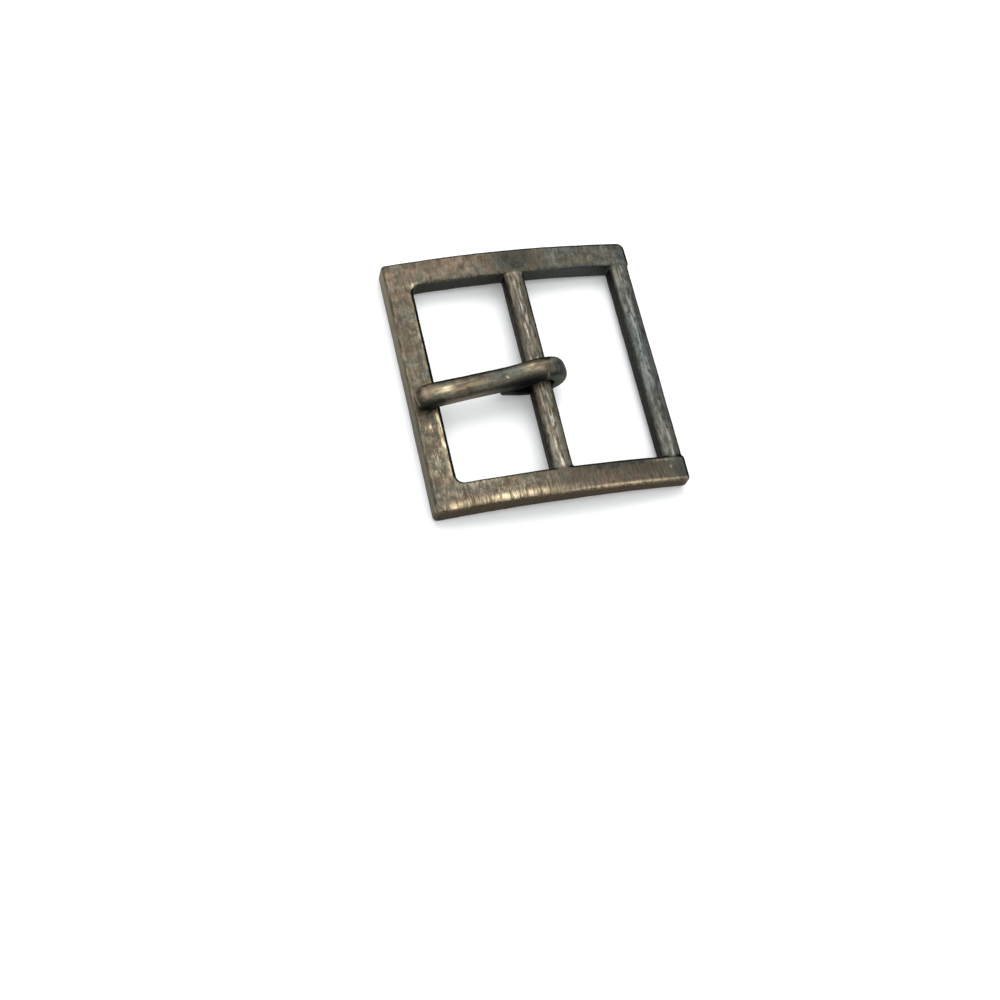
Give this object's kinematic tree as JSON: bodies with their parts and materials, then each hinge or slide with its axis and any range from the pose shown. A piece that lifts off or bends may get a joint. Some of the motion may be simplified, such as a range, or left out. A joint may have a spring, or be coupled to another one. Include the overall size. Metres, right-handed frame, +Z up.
{
  "type": "centre bar buckle",
  "caption": "Small square strap buckle: an arched one-piece cast frame with a centre bar and an end bar, and a loose prong hooked round the centre bar.",
  "frame": {"origin": "on the surface that the buckle lies on, under the middle of the frame", "axes": "+X along the strap from the front rail to the end bar, +Y along the bars, +Z up out of the buckle's face"},
  "size_m": [0.0308, 0.0322, 0.0056],
  "materials": {
    "frame_brass": "antique brass: dark brown patina, brushed, with worn brass-coloured edges",
    "prong_brass": "antique brass: dark brown patina, rubbed smoother and lighter on the raised parts"
  },
  "bodies": {
    "frame": {"frame": "frame_brass"},
    "prong": {"prong": "prong_brass"}
  },
  "joints": [
    {"name": "prong_swing", "type": "hinge", "parent": "frame", "child": "prong", "pos_m": [0.00025, 0, 0.0025], "axis": [0, 1, 0], "range_deg": [0, 166]}
  ]
}
